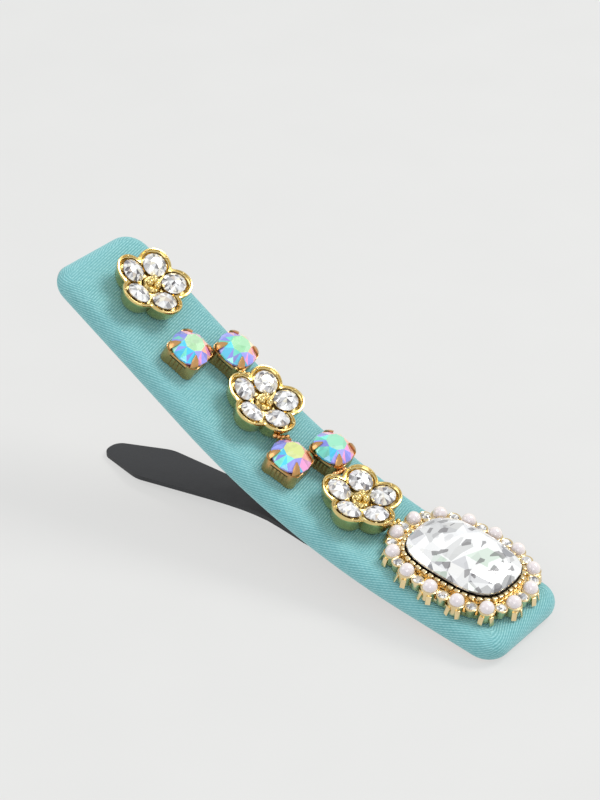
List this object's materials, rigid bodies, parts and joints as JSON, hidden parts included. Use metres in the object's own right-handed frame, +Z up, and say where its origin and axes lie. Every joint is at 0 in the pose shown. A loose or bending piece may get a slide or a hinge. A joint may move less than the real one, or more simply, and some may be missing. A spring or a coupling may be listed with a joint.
{
  "type": "rhinestone hair clip",
  "caption": "Open single-jaw hair clip: a curved, cloth-covered padded bar with stone flowers, claw-set crystals and a pearl-framed crystal over a flat steel jaw on a pin.",
  "frame": {"origin": "centre of the footprint, on the surface the clip stands on", "axes": "+Z up, +X from the jaw's tip to the framed crystal's end, Y across the bar"},
  "size_m": [0.1006, 0.0248, 0.0461],
  "materials": {
    "twill_cloth": "matte ribbed twill",
    "foam": "open foam",
    "card": "stiff board",
    "lining": "tan lining cloth",
    "black_steel": "matte black",
    "spring_steel": "drawn wire",
    "yellow_gold": "polished yellow gold plate",
    "clear_crystal": "foil-backed clear glass",
    "rose_gold": "antique rose gold plate",
    "aurora_crystal": "iridescent coated glass",
    "pale_gold": "satin champagne gold plate",
    "centre_glass": "foil-backed clear glass",
    "pearl": "pearl lacquer"
  },
  "bodies": {
    "bar": {"cloth_cover": "twill_cloth", "foam_pad": "foam", "stiffener": "card", "backing": "lining", "upper_plate": "black_steel", "hinge_pin": "spring_steel", "torsion_spring": "spring_steel", "flower_1_setting": "yellow_gold", "flower_1_stone_1": "clear_crystal", "flower_1_stone_2": "clear_crystal", "flower_1_stone_3": "clear_crystal", "flower_1_stone_4": "clear_crystal", "flower_1_stone_5": "clear_crystal", "flower_2_setting": "yellow_gold", "flower_2_stone_1": "clear_crystal", "flower_2_stone_2": "clear_crystal", "flower_2_stone_3": "clear_crystal", "flower_2_stone_4": "clear_crystal", "flower_2_stone_5": "clear_crystal", "flower_3_setting": "yellow_gold", "flower_3_stone_1": "clear_crystal", "flower_3_stone_2": "clear_crystal", "flower_3_stone_3": "clear_crystal", "flower_3_stone_4": "clear_crystal", "flower_3_stone_5": "clear_crystal", "crystal_1_setting": "rose_gold", "crystal_1": "aurora_crystal", "crystal_2_setting": "rose_gold", "crystal_2": "aurora_crystal", "crystal_3_setting": "rose_gold", "crystal_3": "aurora_crystal", "crystal_4_setting": "rose_gold", "crystal_4": "aurora_crystal", "brooch_setting": "pale_gold", "bead_band": "pale_gold", "centre_crystal": "centre_glass", "pearl_1": "pearl", "pearl_2": "pearl", "pearl_3": "pearl", "pearl_4": "pearl", "pearl_5": "pearl", "pearl_6": "pearl", "pearl_7": "pearl", "pearl_8": "pearl", "pearl_9": "pearl", "pearl_10": "pearl", "pearl_11": "pearl", "pearl_12": "pearl", "pearl_13": "pearl", "pearl_14": "pearl"},
    "jaw": {"lower_jaw": "black_steel"}
  },
  "joints": [
    {"name": "jaw_hinge", "type": "hinge", "parent": "bar", "child": "jaw", "pos_m": [0.00686, -0.00116, 0.00519], "axis": [0, 1, 0], "range_deg": [0, 31.5]}
  ]
}
